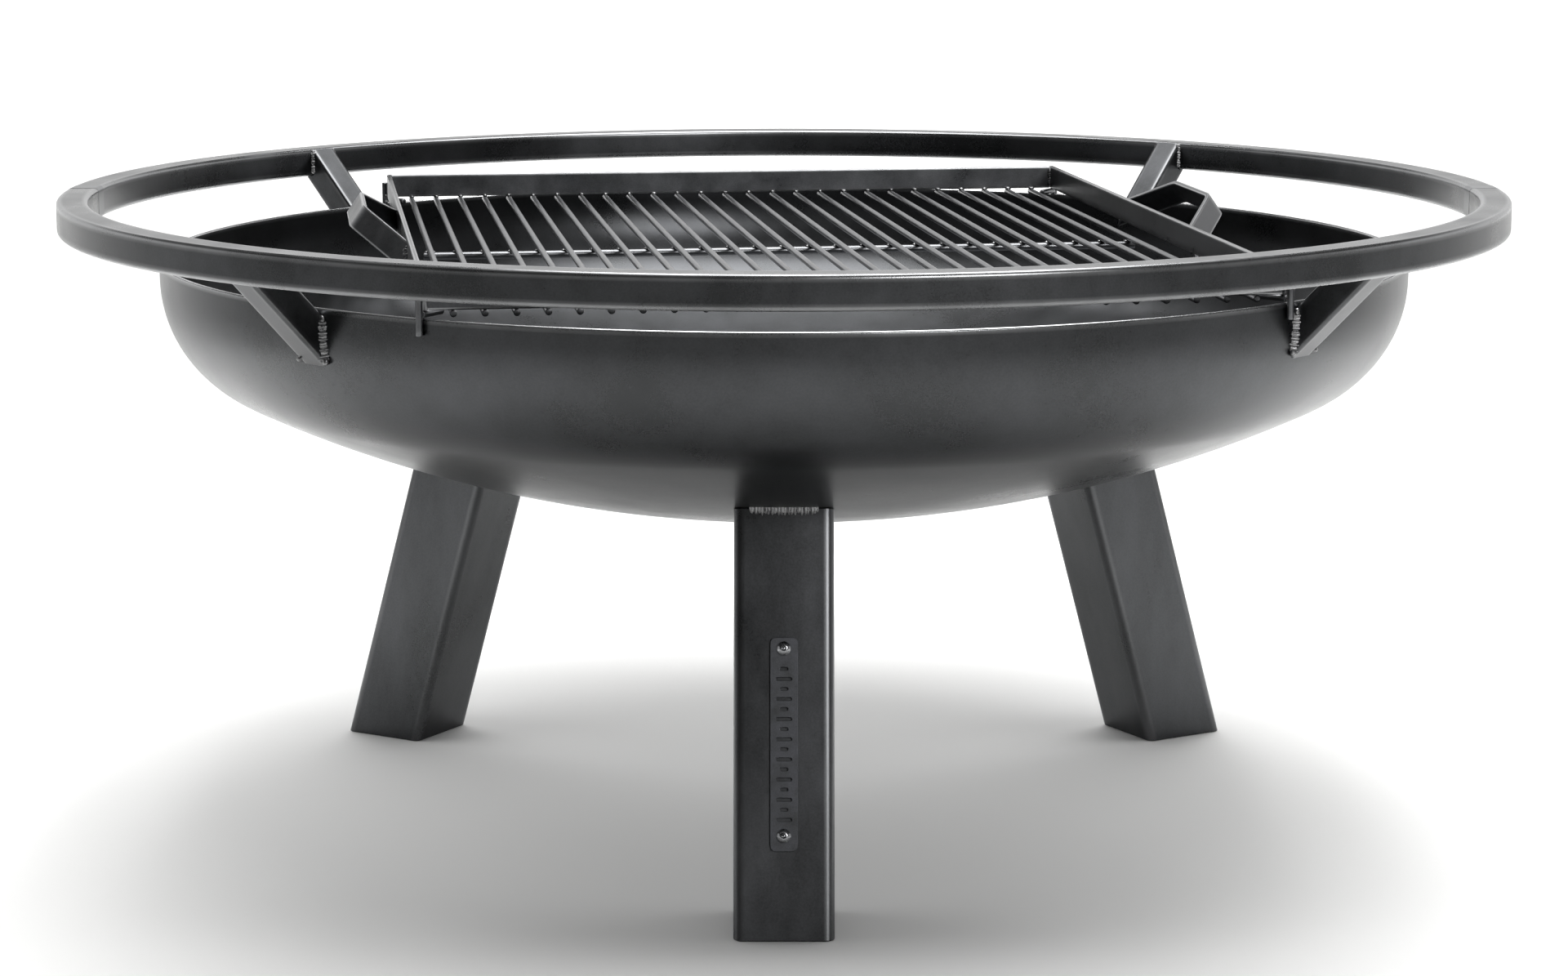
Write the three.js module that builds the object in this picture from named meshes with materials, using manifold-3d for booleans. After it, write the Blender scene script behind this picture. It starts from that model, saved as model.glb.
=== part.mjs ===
// Fire pit: a dished bowl on three splayed legs, a carrying ring held round it by four
// brackets, and a lift-off grate with two handles that stands on the bowl's rim.
// Millimetres, +Z up. The origin is on the floor, on the bowl's axis. The front is -Y.

import * as THREE from 'three';
import { mergeVertices } from 'three/addons/utils/BufferGeometryUtils.js';
import Module from 'manifold-3d';

const wasm = await Module();
wasm.setup();

// ---- Driving dimensions -------------------------------------------------------------------

const gap = 0.3;                // clearance left between pieces that touch on the real object
const turns = 72;               // facets round every turned piece, a multiple of four
const cornerSteps = 1;          // each step is two facets on a tube's or plate's rounded corner

const bowl = { radius: 500, rim: 451.3, wall: 3, crown: 1000, knuckle: 100, flange: 16 };
const ring = { handGap: 53, aboveRim: 48.7, tube: 25, wall: 2, corner: 3 };
const leg = { tube: 73, wall: 3, corner: 6, splay: 17, foot: 425 };
const bracket = { tube: 25, wall: 2, corner: 2.5, ringDrop: 0.5, rimDrop: 4 };
const plate = { width: 20, length: 154, thickness: 2, corner: 4, height: 135, rivetInset: 9.5 };
const rivet = { shank: 4.8, head: 10, headHeight: 3, tail: 4, clearance: 0.3 };
const grate = { width: 617, turn: 8, bars: 27, bend: 5 };
const strip = { height: 20, thickness: 4 };
const rod = { bar: 5, cross: 6, pin: 5 };
const pin = { below: 12, above: 18, clearance: 0.5, restLength: 24 };
const handle = { base: 240, grip: 110, reach: 43, rise: 35, bend: 25, topDrop: 3 };

// ---- Dimensions that follow from them -----------------------------------------------------

const deg = Math.PI / 180;
const ringInner = bowl.radius + ring.handGap;
const ringOuter = ringInner + ring.tube;
const ringTop = bowl.rim + ring.aboveRim;
const ringBottom = ringTop - ring.tube;
const barHeight = bowl.rim + gap + rod.bar / 2;
const frameBottom = bowl.rim + 2 * gap + rod.bar;
const frameTop = frameBottom + strip.height;
const legAzimuths = { front: -90, rear_right: 30, rear_left: 150 };
const bracketAzimuths = { rear_right: 50, rear_left: 139.3, front_left: 227.8, front_right: 318.8 };

// ---- Materials ----------------------------------------------------------------------------

const steel = (color, roughness) => new THREE.MeshStandardMaterial({ color, roughness, metalness: 1 });
const finish = {
  bowl: steel('#3a3b3d', 0.45),
  leg: steel('#46474a', 0.42),
  ring: steel('#55575a', 0.38),
  bracket: steel('#4b4c4f', 0.45),
  grate: steel('#606264', 0.4),
  plate: steel('#37383a', 0.5),
  rivet: steel('#9c9ea1', 0.25),
};

// ---- Solids: three.js shapes, joined and cut ----------------------------------------------

function solidOf(geometry) {
  const bare = new THREE.BufferGeometry();
  bare.setAttribute('position', geometry.getAttribute('position'));
  bare.setIndex(geometry.getIndex());
  const merged = mergeVertices(bare, 1e-4);
  const points = merged.getAttribute('position').array;
  const index = merged.getIndex().array;
  const kept = [];
  for (let i = 0; i < index.length; i += 3) {
    const [a, b, c] = [index[i], index[i + 1], index[i + 2]];
    if (a !== b && b !== c && c !== a) kept.push(a, b, c);
  }
  if (signedVolume(points, kept) < 0) kept.reverse();
  return new wasm.Manifold(new wasm.Mesh({
    numProp: 3,
    vertProperties: new Float32Array(points),
    triVerts: new Uint32Array(kept),
  }));
}

function signedVolume(points, index) {
  const [a, b, c] = [new THREE.Vector3(), new THREE.Vector3(), new THREE.Vector3()];
  let volume = 0;
  for (let i = 0; i < index.length; i += 3) {
    a.fromArray(points, 3 * index[i]);
    b.fromArray(points, 3 * index[i + 1]);
    c.fromArray(points, 3 * index[i + 2]);
    volume += a.dot(b.cross(c)) / 6;
  }
  return volume;
}

function geometryOf(solid) {
  const mesh = solid.getMesh();
  const geometry = new THREE.BufferGeometry();
  geometry.setAttribute('position', new THREE.BufferAttribute(new Float32Array(mesh.vertProperties), 3));
  geometry.setIndex(new THREE.BufferAttribute(new Uint32Array(mesh.triVerts), 1));
  return geometry;
}

// Turns a closed outline of (radius, height) points about the Z axis.
function revolve(outline) {
  const points = outline.map(([r, z]) => new THREE.Vector2(Math.max(r, 0), z));
  if (points[0].x > 0 || points.at(-1).x > 0) points.push(points[0].clone());
  return solidOf(new THREE.LatheGeometry(points, turns).rotateX(Math.PI / 2));
}

// A rectangle with rounded corners, centred on (x, y).
function roundedRectangle(width, height, radius, x = 0, y = 0) {
  const shape = new THREE.Shape();
  const [w, h] = [width / 2 - radius, height / 2 - radius];
  const corners = [[w, -h, -90], [w, h, 0], [-w, h, 90], [-w, -h, 180]];
  for (const [cx, cy, start] of corners) {
    shape.absarc(x + cx, y + cy, radius, start * deg, (start + 90) * deg, false);
  }
  shape.closePath();
  return shape;
}

// A square tube along +Z, open at both ends.
function squareTube({ tube, wall, corner }, length) {
  const section = roundedRectangle(tube, tube, corner);
  section.holes.push(roundedRectangle(tube - 2 * wall, tube - 2 * wall, corner - wall / 2));
  const options = { depth: length, bevelEnabled: false, curveSegments: cornerSteps };
  return new THREE.ExtrudeGeometry(section, options);
}

// The outline of a flat strip seen edge on: a path of points with its corners bent to a radius.
function bentStrip(points, radius, thickness, steps = 4) {
  const path = points.map(([x, y]) => new THREE.Vector2(x, y));
  const [left, right] = [[], []];
  const station = (at, along) => {
    const side = new THREE.Vector2(-along.y, along.x).multiplyScalar(thickness / 2);
    left.push(at.clone().add(side));
    right.unshift(at.clone().sub(side));
  };
  const heading = (i) => path[i + 1].clone().sub(path[i]).normalize();
  station(path[0], heading(0));
  for (let i = 1; i < path.length - 1; i += 1) {
    const [before, after] = [heading(i - 1), heading(i)];
    const turn = Math.atan2(before.cross(after), before.dot(after));
    const start = path[i].clone().addScaledVector(before, -radius * Math.tan(Math.abs(turn) / 2));
    const inward = new THREE.Vector2(-before.y, before.x).multiplyScalar(radius * Math.sign(turn));
    const centre = start.clone().add(inward);
    for (let k = 0; k <= steps; k += 1) {
      const swing = (turn * k) / steps;
      const along = before.clone().rotateAround(new THREE.Vector2(), swing);
      station(start.clone().rotateAround(centre, swing), along);
    }
  }
  station(path.at(-1), heading(path.length - 2));
  return new THREE.Shape([...left, ...right]);
}

// A round rod between two points.
function roundRod(from, to, diameter, sides = 10) {
  const [a, b] = [new THREE.Vector3(...from), new THREE.Vector3(...to)];
  const axis = b.clone().sub(a);
  const up = new THREE.Vector3(0, 1, 0);
  const turn = new THREE.Quaternion().setFromUnitVectors(up, axis.clone().normalize());
  return new THREE.CylinderGeometry(diameter / 2, diameter / 2, axis.length(), sides)
    .applyQuaternion(turn)
    .translate(...a.add(b).multiplyScalar(0.5).toArray());
}

// Cuts a piece where it stands: the placement takes it there, and is undone afterwards.
function cutInPlace(geometry, placement, cutters) {
  let solid = solidOf(geometry.clone().applyMatrix4(placement));
  for (const cutter of cutters) solid = solid.subtract(cutter);
  return geometryOf(solid).applyMatrix4(placement.clone().invert());
}

// ---- Scene graph --------------------------------------------------------------------------

const firePit = new THREE.Group();

function addMesh(parent, name, geometry, material) {
  const mesh = new THREE.Mesh(geometry, material);
  mesh.name = name;
  parent.add(mesh);
  return mesh;
}

// ---- Bowl: a torispherical dished end with a short straight flange ------------------------

// The meridian from the rim to the axis, moved outwards by an offset.
function bowlMeridian(offset) {
  const [crown, knuckle] = [bowl.crown + offset, bowl.knuckle + offset];
  const knuckleRadius = bowl.radius - bowl.knuckle;
  const knuckleHeight = bowl.rim - bowl.flange;
  const crownHeight = knuckleHeight + Math.sqrt((bowl.crown - bowl.knuckle) ** 2 - knuckleRadius ** 2);
  const meeting = Math.atan2(knuckleHeight - crownHeight, knuckleRadius);
  const points = [[bowl.radius + offset, bowl.rim]];
  for (let k = 0; k <= 6; k += 1) {
    const a = (meeting * k) / 6;
    points.push([knuckleRadius + knuckle * Math.cos(a), knuckleHeight + knuckle * Math.sin(a)]);
  }
  for (let k = 1; k <= 9; k += 1) {
    const a = meeting + ((-Math.PI / 2 - meeting) * k) / 9;
    points.push([k === 9 ? 0 : crown * Math.cos(a), crownHeight + crown * Math.sin(a)]);
  }
  return points;
}

function makeBowl() {
  const outside = bowlMeridian(0).reverse();
  const inside = bowlMeridian(-bowl.wall);
  return geometryOf(revolve([...outside, ...inside]));
}

// The bowl with its inside filled, grown by the clearance: what the legs and brackets stop at.
const bowlCutter = revolve([...bowlMeridian(gap).reverse(), [0, bowl.rim]]);

addMesh(firePit, 'bowl', makeBowl(), finish.bowl);

// ---- Ring: two bent halves of square tube, butted at the left and right -------------------

function makeRingHalf(side) {
  const centre = [ringOuter - ring.tube / 2, ringTop - ring.tube / 2];
  const section = (size, corner) => {
    const outline = roundedRectangle(size, size, corner, ...centre).getPoints(cornerSteps);
    return revolve(outline.slice(0, -1).map((p) => [p.x, p.y]));
  };
  const tube = section(ring.tube, ring.corner).subtract(
    section(ring.tube - 2 * ring.wall, ring.corner - ring.wall / 2),
  );
  const reach = 3 * ringOuter;
  const block = new THREE.BoxGeometry(reach, reach, reach).translate(0, side * (gap / 2 + reach / 2), 0);
  return geometryOf(tube.intersect(solidOf(block)));
}

addMesh(firePit, 'ring_half_front', makeRingHalf(-1), finish.ring);
addMesh(firePit, 'ring_half_rear', makeRingHalf(1), finish.ring);

// The space of the ring and everything above and outside it: what the brackets stop at.
const ringCutter = revolve([
  [ringInner - gap, ringBottom - gap],
  [2 * ringOuter, ringBottom - gap],
  [2 * ringOuter, 2 * ringTop],
  [ringInner - gap, 2 * ringTop],
]);

// ---- Legs ---------------------------------------------------------------------------------

// A frame on a leg's outer face where it meets the floor: x out of the face, z up the leg.
function legFace(azimuth) {
  const swing = new THREE.Group();
  swing.rotation.z = azimuth * deg;
  const face = new THREE.Group();
  face.position.set(leg.foot, 0, 0);
  face.rotation.y = -leg.splay * deg;
  swing.add(face);
  firePit.add(swing);
  swing.updateMatrixWorld(true);
  return face;
}

const plateAt = plate.height / Math.cos(leg.splay * deg);
const rivetHeights = [-1, 1].map((end) => plateAt + end * (plate.length / 2 - plate.rivetInset));

const rivetHoles = (length) => rivetHeights.map((z) => roundRod(
  [-length, 0, z], [length, 0, z], rivet.shank + 2 * rivet.clearance, 12,
));

function makeLeg(face, holes) {
  const below = leg.tube;
  const span = below + bowl.rim * 0.85;
  const tube = squareTube(leg, span).translate(-leg.tube / 2, 0, -below);
  const depth = 2 * leg.foot;
  const floor = new THREE.BoxGeometry(3 * leg.foot, 3 * leg.foot, depth).translate(0, 0, -depth / 2);
  const cutters = [bowlCutter, solidOf(floor)];
  for (const hole of holes) cutters.push(solidOf(hole.applyMatrix4(face.matrixWorld)));
  return cutInPlace(tube, face.matrixWorld, cutters);
}

const legFaces = {};
for (const [place, azimuth] of Object.entries(legAzimuths)) {
  const face = legFace(azimuth);
  legFaces[place] = face;
  const holes = place === 'front' ? rivetHoles(leg.tube / 2) : [];
  addMesh(face, `leg_${place}`, makeLeg(face, holes), finish.leg);
}

// ---- Badge plate on the front leg, held by two dome-headed rivets -------------------------

function makePlate() {
  const outline = roundedRectangle(plate.width, plate.length, plate.corner);
  const options = { depth: plate.thickness, bevelEnabled: false, curveSegments: 2 * cornerSteps };
  const blank = new THREE.ExtrudeGeometry(outline, options)
    .applyMatrix4(new THREE.Matrix4().makeBasis(
      new THREE.Vector3(0, 1, 0), new THREE.Vector3(0, 0, 1), new THREE.Vector3(1, 0, 0),
    ))
    .translate(gap, 0, plateAt);
  return cutInPlace(blank, new THREE.Matrix4(), rivetHoles(leg.tube / 2).map(solidOf));
}

// A dome head standing on its shank, along +X from the face of the plate.
function makeRivet() {
  const head = rivet.head / 2;
  const dome = (head ** 2 + rivet.headHeight ** 2) / (2 * rivet.headHeight);
  const half = Math.asin(head / dome);
  const base = plate.thickness + 2 * gap;
  const tail = -rivet.tail - leg.wall;
  const outline = [[0, tail], [rivet.shank / 2, tail], [rivet.shank / 2, base]];
  for (let k = 0; k <= 4; k += 1) {
    const a = half * (1 - k / 4);
    const height = base + rivet.headHeight - dome + dome * Math.cos(a);
    outline.push([k === 4 ? 0 : dome * Math.sin(a), height]);
  }
  const points = outline.map(([r, x]) => new THREE.Vector2(r, x));
  return new THREE.LatheGeometry(points, 16).rotateZ(-Math.PI / 2);
}

addMesh(legFaces.front, 'badge_plate', makePlate(), finish.plate);
['lower', 'upper'].forEach((place, i) => {
  const piece = geometryOf(solidOf(makeRivet()));
  const mesh = addMesh(legFaces.front, `badge_rivet_${place}`, piece, finish.rivet);
  mesh.position.z = rivetHeights[i];
});

// ---- Brackets: square tube from the bowl's wall up and out to the ring --------------------

function makeBracket(placement) {
  const topEdge = { atRing: ringTop - bracket.ringDrop, atBowl: bowl.rim - bracket.rimDrop };
  const slope = Math.atan2(topEdge.atRing - topEdge.atBowl, ring.handGap);
  const halfCut = bracket.tube / 2 / Math.cos(slope);
  const end = [ringInner, topEdge.atRing - halfCut];
  const below = (ring.handGap + bowl.knuckle * 0.3) / Math.cos(slope);
  const beyond = ring.tube;
  const tube = squareTube(bracket, below + beyond)
    .translate(0, 0, -below)
    .rotateY(Math.PI / 2 - slope)
    .translate(end[0], 0, end[1]);
  return cutInPlace(tube, placement, [bowlCutter, ringCutter]);
}

for (const [place, azimuth] of Object.entries(bracketAzimuths)) {
  const swing = azimuth * deg;
  const piece = makeBracket(new THREE.Matrix4().makeRotationZ(swing));
  addMesh(firePit, `ring_bracket_${place}`, piece, finish.bracket).rotation.z = swing;
}

// ---- Grate: bent frame strips, bars under them, corner rests and pins, handles ------------

const grateGroup = new THREE.Group();
grateGroup.rotation.z = grate.turn * deg;
firePit.add(grateGroup);

// The frame's corners stand over the rim's outer edge, which sets the grate's length.
const halfWidth = grate.width / 2;
const halfLength = Math.sqrt(bowl.radius ** 2 - halfWidth ** 2);

// One strip makes a long side and an end; the other is the same strip turned half round.
function makeFrameStrip() {
  const [x, y] = [halfWidth - strip.thickness / 2, halfLength - strip.thickness / 2];
  const path = [[-x, -halfLength], [-x, y], [halfWidth - strip.thickness - gap, y]];
  const outline = bentStrip(path, grate.bend - strip.thickness / 2, strip.thickness);
  return new THREE.ExtrudeGeometry(outline, { depth: strip.height, bevelEnabled: false })
    .translate(0, 0, frameBottom);
}

addMesh(grateGroup, 'grate_frame_left_rear', makeFrameStrip(), finish.grate);
addMesh(grateGroup, 'grate_frame_right_front', makeFrameStrip(), finish.grate).rotation.z = Math.PI;

const barPitch = grate.width / (grate.bars + 1);
const barEnd = halfLength - strip.thickness / 4;
for (let i = 0; i < grate.bars; i += 1) {
  const bar = roundRod([0, -barEnd, 0], [0, barEnd, 0], rod.bar);
  const name = `grate_bar_${String(i + 1).padStart(2, '0')}`;
  addMesh(grateGroup, name, bar, finish.grate).position.set(-halfWidth + barPitch * (i + 1), 0, barHeight);
}

const crossEnd = halfWidth - barPitch + rod.bar;
const crossHeight = barHeight - rod.bar / 2 - gap - rod.cross / 2;
const cross = roundRod([-crossEnd, 0, 0], [crossEnd, 0, 0], rod.cross);
addMesh(grateGroup, 'grate_cross_rod', cross, finish.grate).position.z = crossHeight;

// At each corner a short rod lies on the rim under the frame, and a pin stands outside the rim.
const pinRadius = bowl.radius + pin.clearance + rod.pin / 2;
const corners = {
  rear_right: [1, 1], rear_left: [-1, 1], front_left: [-1, -1], front_right: [1, -1],
};
for (const [place, [sx, sy]] of Object.entries(corners)) {
  const corner = new THREE.Group();
  corner.rotation.z = Math.atan2(sy * halfLength, sx * halfWidth);
  grateGroup.add(corner);
  const restEnd = pinRadius - rod.pin / 2 - gap;
  const rest = roundRod([restEnd - pin.restLength, 0, 0], [restEnd, 0, 0], rod.bar);
  addMesh(corner, `grate_rest_${place}`, rest, finish.grate).position.z = barHeight;
  const upright = roundRod([0, 0, -pin.below], [0, 0, pin.above], rod.pin);
  addMesh(corner, `grate_pin_${place}`, upright, finish.grate).position.set(pinRadius, 0, bowl.rim);
}

// A handle: a strip bent to a trapezoid, rising outwards from the frame's side.
function makeHandle() {
  const slope = handle.rise * deg;
  const lean = (handle.base - handle.grip) / 2 / handle.reach;
  const back = -strip.height;
  const foot = handle.base / 2 - back * lean;
  const grip = [handle.grip / 2, handle.reach];
  const path = [[-foot, back], [-grip[0], grip[1]], grip, [foot, back]];
  const outline = bentStrip(path, handle.bend, strip.thickness, 5);
  const out = new THREE.Vector3(Math.cos(slope), 0, Math.sin(slope));
  const along = new THREE.Vector3(0, 1, 0);
  const placement = new THREE.Matrix4().makeBasis(along, out, along.clone().cross(out));
  const edgeRise = (strip.height / 2) / Math.cos(slope);
  placement.setPosition(halfWidth, 0, frameTop - handle.topDrop - edgeRise);
  const reach = handle.base;
  const frameSide = new THREE.BoxGeometry(reach, 2 * reach, reach)
    .translate(halfWidth + gap - reach / 2, 0, frameTop);
  const blank = new THREE.ExtrudeGeometry(outline, { depth: strip.height, bevelEnabled: false })
    .translate(0, 0, -strip.height / 2)
    .applyMatrix4(placement);
  return cutInPlace(blank, new THREE.Matrix4(), [solidOf(frameSide)]);
}

addMesh(grateGroup, 'grate_handle_right', makeHandle(), finish.grate);
addMesh(grateGroup, 'grate_handle_left', makeHandle(), finish.grate).rotation.z = Math.PI;

export default firePit;
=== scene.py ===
import math

import bpy
import numpy as np
from bpy.props import FloatProperty, FloatVectorProperty, IntProperty, PointerProperty
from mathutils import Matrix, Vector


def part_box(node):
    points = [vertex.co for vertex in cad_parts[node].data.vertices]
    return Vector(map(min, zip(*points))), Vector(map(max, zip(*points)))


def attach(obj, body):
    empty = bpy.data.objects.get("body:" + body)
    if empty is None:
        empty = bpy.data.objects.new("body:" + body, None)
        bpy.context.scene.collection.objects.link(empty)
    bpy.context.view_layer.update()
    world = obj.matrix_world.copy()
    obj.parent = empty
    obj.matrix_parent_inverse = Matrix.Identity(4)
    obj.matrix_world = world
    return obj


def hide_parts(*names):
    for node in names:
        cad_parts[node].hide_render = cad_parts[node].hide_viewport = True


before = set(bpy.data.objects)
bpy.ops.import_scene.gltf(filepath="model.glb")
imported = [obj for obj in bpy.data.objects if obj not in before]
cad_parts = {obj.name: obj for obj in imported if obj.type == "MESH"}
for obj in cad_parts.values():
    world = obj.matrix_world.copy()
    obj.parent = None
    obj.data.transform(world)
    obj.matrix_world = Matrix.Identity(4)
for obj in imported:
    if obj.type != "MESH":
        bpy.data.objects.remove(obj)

bl_info = {
    "name": "Fire pit with grate",
    "version": (1, 0, 0),
    "blender": (4, 5, 0),
    "location": "3D View > Sidebar > Fire pit",
    "description": "Builds the fine surfaces, welds and finishes of a steel fire pit round its frame",
    "category": "Object",
}

MM = 0.001
CLEARANCE = 0.3 * MM  # between pieces that touch
UP = np.array([0, 0, 1])
LEG_SEARCH = 0.05  # above the floor, where the search for a leg's upper end starts
BRACKET_SEARCH = 0.2  # length along a bracket in which its lower end is looked for
HEAT_REACH = 16 * MM  # how far from a weld the metal is tinted
BAND_PROUD = 0.15 * MM  # how far the ground bands stand out from the ring's tube
TOP_BEAD_DROP = 5.4 * MM  # from a bracket's top edge to its top bead, which keeps it below the ring
STRIP_WEAR = 0.5 * MM  # width of the rubbed line along a flat bar's edges
TINY = 1e-9
GRAIN_IN_TONE = 0.35  # how much the fine grain shifts the tone that the clouds give
RIVET_SHANK = 2.35 * MM  # radius
RIVET_HOLE = 2.7 * MM  # radius
RIVET_RIM = 0.5 * MM  # height of the upright edge round a rivet's dome
PLACES = ("rear_right", "rear_left", "front_left", "front_right")
LEG_AZIMUTHS = {"front": -90, "rear_right": 30, "rear_left": 150}
BRACKET_AZIMUTHS = {"rear_right": 50, "rear_left": 139.3, "front_left": 227.8, "front_right": 318.8}


# ---- The frame, read as numpy arrays -------------------------------------------------------

def corners_of(node):
    """Lowest and highest corner of a frame node, as arrays in metres."""
    low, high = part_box(node)
    return np.array(low), np.array(high)


def points_of(node):
    """Every vertex of a frame node as an array of rows."""
    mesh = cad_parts[node].data
    flat = np.zeros(3 * len(mesh.vertices))
    mesh.vertices.foreach_get("co", flat)
    return flat.reshape(-1, 3)


def rod_ends(node):
    """The two ends of a straight rod's centre line: the middle of its points, moved both ways
    along the direction in which they spread most."""
    points = np.unique(points_of(node).round(6), axis=0)
    middle = (points.min(0) + points.max(0)) / 2
    along = np.linalg.svd(points - middle, full_matrices=False)[2][0]
    along = along * np.sign(along[np.argmax(np.abs(along))])
    reach = np.abs((points - middle) @ along).max()
    return middle - along * reach, middle + along * reach


BOWL_HIGH = corners_of("bowl")[1]
RING_LOW, RING_HIGH = corners_of("ring_half_front")
LEG_LOW = corners_of("leg_front")[0]
BAR_ENDS = rod_ends("grate_bar_14")
BARS = sorted(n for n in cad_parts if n.startswith("grate_bar_"))
GRATE_TURN = math.atan2(*(BAR_ENDS[1] - BAR_ENDS[0])[[1, 0]]) - math.pi / 2
STRIP_LOW, STRIP_HIGH = corners_of("grate_frame_left_rear")


def turned(points, angle):
    """Points turned about the Z axis by an angle in radians."""
    c, s = math.cos(angle), math.sin(angle)
    return points @ np.array([[c, s, 0], [-s, c, 0], [0, 0, 1]])


GRATE_HALF = np.abs(turned(points_of("grate_frame_left_rear"), -GRATE_TURN)).max(0)


# ---- Sizes and colours that a user would change -------------------------------------------

def linear(colour):
    """An sRGB hex colour as linear red, green, blue and alpha."""
    parts = np.array([int(colour[i:i + 2], 16) for i in (1, 3, 5)]) / 255
    low, high = parts / 12.92, ((parts + 0.055) / 1.055) ** 2.4
    return (*np.where(parts <= 0.04045, low, high).tolist(), 1.0)


def size(name, description, metres):
    return FloatProperty(name=name, description=description, default=metres, min=0, precision=4,
                         subtype="DISTANCE", unit="LENGTH")


def angle(name, description, degrees):
    return FloatProperty(name=name, description=description, default=math.radians(degrees),
                         subtype="ANGLE", unit="ROTATION")


def watts(name, description, value):
    return FloatProperty(name=name, description=description, default=value, unit="POWER")


def colour(name, description, value):
    return FloatVectorProperty(name=name, description=description, default=linear(value), size=4,
                               min=0, max=1, subtype="COLOR")


class BowlSizes(bpy.types.PropertyGroup):
    wall: size("Wall", "Thickness of the dished sheet", 3 * MM)
    crown: size("Crown radius", "Radius of the shallow middle of the dish", 1)
    knuckle: size("Knuckle radius", "Radius of the tight curve under the rim", 100 * MM)
    flange: size("Straight flange", "Height of the straight wall above the knuckle", 16 * MM)
    waviness: size("Waviness", "How far the pressed sheet strays from true", 0.12 * MM)


class TubeSizes(bpy.types.PropertyGroup):
    ring: size("Ring tube", "Width of the carrying ring's square tube", 25 * MM)
    ring_corner: size("Ring corner", "Outer corner radius of the ring's tube", 3 * MM)
    bracket: size("Bracket tube", "Width of the brackets' square tube", 25 * MM)
    bracket_corner: size("Bracket corner", "Outer corner radius of the brackets' tube", 2.5 * MM)
    bracket_wall: size("Bracket wall", "Wall of the brackets' tube", 2 * MM)
    ring_drop: size("Drop at the ring", "From the ring's top to the bracket's top edge", 0.5 * MM)
    rim_drop: size("Drop at the rim", "From the rim to the bracket's top edge", 4 * MM)
    leg: size("Leg tube", "Width of the legs' square tube", 73 * MM)
    leg_corner: size("Leg corner", "Outer corner radius of the legs' tube", 6 * MM)
    leg_wall: size("Leg wall", "Wall of the legs' tube", 3 * MM)
    leg_splay: angle("Leg splay", "How far the legs lean outwards towards the floor", 17)


class BadgeSizes(bpy.types.PropertyGroup):
    width: size("Width", "Width of the badge plate", 20 * MM)
    length: size("Length", "Length of the badge plate", 154 * MM)
    thickness: size("Thickness", "Thickness of the badge plate", 2 * MM)
    corner: size("Corner", "Corner radius of the badge plate", 4 * MM)
    end_zone: size("End zone", "Length at each end that a rivet takes", 19 * MM)
    cut_outs: IntProperty(name="Cut-outs", description="Cut-outs between the rivets", default=16)
    long_slot: size("Long slot", "Length of every other cut-out", 11.5 * MM)
    short_slot: size("Short slot", "Length of the cut-outs between them", 6 * MM)
    slot_width: size("Slot width", "Width of a cut-out", 2.6 * MM)
    rivet_head: size("Rivet head", "Diameter of a rivet's dome", 10 * MM)
    rivet_height: size("Rivet height", "Height of a rivet's dome", 2.8 * MM)


class GrateSizes(bpy.types.PropertyGroup):
    strip: size("Strip thickness", "Thickness of the flat strip", 4 * MM)
    edge: size("Strip edge", "Radius of the strip's rolled edges", 0.9 * MM)
    bend: size("Corner bend", "Radius of the frame's bent corners, at mid thickness", 3 * MM)
    bar: size("Bar", "Diameter of the round bars", 5 * MM)
    cross: size("Cross rod", "Diameter of the rod under the bars", 6 * MM)
    base: size("Handle base", "Width of a handle where it meets the frame", 240 * MM)
    grip: size("Handle grip", "Width of a handle's outer run", 110 * MM)
    reach: size("Handle reach", "How far a handle stands out, along its slope", 43 * MM)
    rise: angle("Handle rise", "Slope of the handles above level", 35)
    handle_bend: size("Handle bend", "Bend radius of the handles, at mid thickness", 25 * MM)
    handle_drop: size("Handle drop", "From the frame's top to the handle's top edge", 3 * MM)


class WeldSizes(bpy.types.PropertyGroup):
    bead: size("Bead width", "Width of the weld beads on tube", 11.5 * MM)
    height: size("Bead height", "Height of the weld beads on tube", 2.6 * MM)
    ripple: size("Ripple", "Distance between the ripples of a bead", 2.4 * MM)
    leg_bead: size("Leg bead", "Length of the bead across a leg's face", 51 * MM)
    ground_band: size("Ground band", "Width ground bright at the ring's butt welds", 22 * MM)


class Finishes(bpy.types.PropertyGroup):
    scale_dark: colour("Mill scale, dark", "Dark patches of the oxide skin", "#434445")
    scale_light: colour("Mill scale, light", "Light patches of the oxide skin", "#515254")
    tube_dark: colour("Tube, dark", "Dark patches of the drawn tube", "#414243")
    tube_light: colour("Tube, light", "Light patches of the drawn tube", "#535456")
    strip_dark: colour("Flat bar, dark", "Dark patches of the flat bar", "#47484a")
    strip_light: colour("Flat bar, light", "Light patches of the flat bar", "#5f6062")
    rod_dark: colour("Rod, dark", "Dark patches of the drawn rod", "#626365")
    rod_light: colour("Rod, light", "Light patches of the drawn rod", "#808183")
    worn: colour("Worn edge", "Bare steel where an edge has rubbed bright", "#d2d3d4")
    weld_dark: colour("Weld, dark", "Slag and soot in the weld's ripples", "#38383a")
    weld_light: colour("Weld, light", "Fresh weld metal", "#8b8b8b")
    plate: colour("Badge plate", "The thin cut plate", "#55565a")
    rivet: colour("Rivet", "The bright rivet heads", "#a4a5a7")
    floor: colour("Floor", "The studio paper", "#f4f4f3")


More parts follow.
